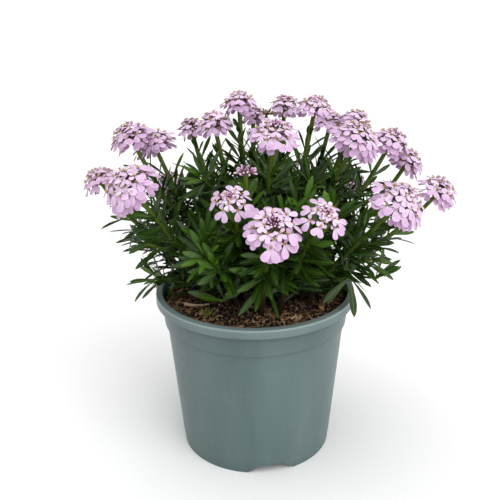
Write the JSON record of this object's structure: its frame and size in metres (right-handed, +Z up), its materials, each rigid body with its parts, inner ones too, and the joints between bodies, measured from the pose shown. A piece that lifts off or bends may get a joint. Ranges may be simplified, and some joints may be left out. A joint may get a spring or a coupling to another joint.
{
  "type": "potted candytuft",
  "caption": "Evergreen candytuft in bloom: leafy stems with domed lilac flower heads, growing in peat in a thin round plastic nursery pot.",
  "frame": {"origin": "On the surface that the pot stands on, under the middle of the whole plant's box. The pot's axis stands 9.2 mm towards -X and 3.0 mm towards -Y of it.", "axes": "+Z up along the pot's axis, -Y towards the side that the picture shows, +X to its right."},
  "size_m": [0.2296, 0.1972, 0.2333],
  "materials": {
    "pot": "satin",
    "peat": "matte",
    "foliage": "satin",
    "petals": "matte"
  },
  "bodies": {
    "root": {"pot": "pot", "peat": "peat", "stem_01": "foliage", "stem_02": "foliage", "stem_03": "foliage", "stem_04": "foliage", "stem_05": "foliage", "stem_06": "foliage", "stem_07": "foliage", "stem_08": "foliage", "stem_09": "foliage", "stem_10": "foliage", "stem_11": "foliage", "stem_12": "foliage", "stem_13": "foliage", "stem_14": "foliage", "stem_15": "foliage", "stem_16": "foliage", "stem_17": "foliage", "stem_18": "foliage", "stem_19": "foliage", "stem_20": "foliage", "stem_21": "foliage", "stem_22": "foliage", "stem_23": "foliage", "stem_24": "foliage", "stem_25": "foliage", "stem_26": "foliage", "stem_27": "foliage", "shoot_01": "foliage", "shoot_02": "foliage", "shoot_03": "foliage", "shoot_04": "foliage", "bloom_01": "petals", "bloom_02": "petals", "bloom_03": "petals", "bloom_04": "petals", "bloom_05": "petals", "bloom_06": "petals", "bloom_07": "petals", "bloom_08": "petals", "bloom_09": "petals", "bloom_10": "petals", "bloom_11": "petals", "bloom_12": "petals", "bloom_13": "petals", "bloom_14": "petals", "bloom_15": "petals", "bloom_16": "petals", "bloom_17": "petals", "bloom_18": "petals", "bloom_19": "petals", "bloom_20": "petals", "bloom_21": "petals", "bloom_22": "petals", "bloom_23": "petals", "bloom_24": "petals", "bloom_25": "petals", "bloom_26": "petals", "bloom_27": "petals"}
  },
  "joints": []
}
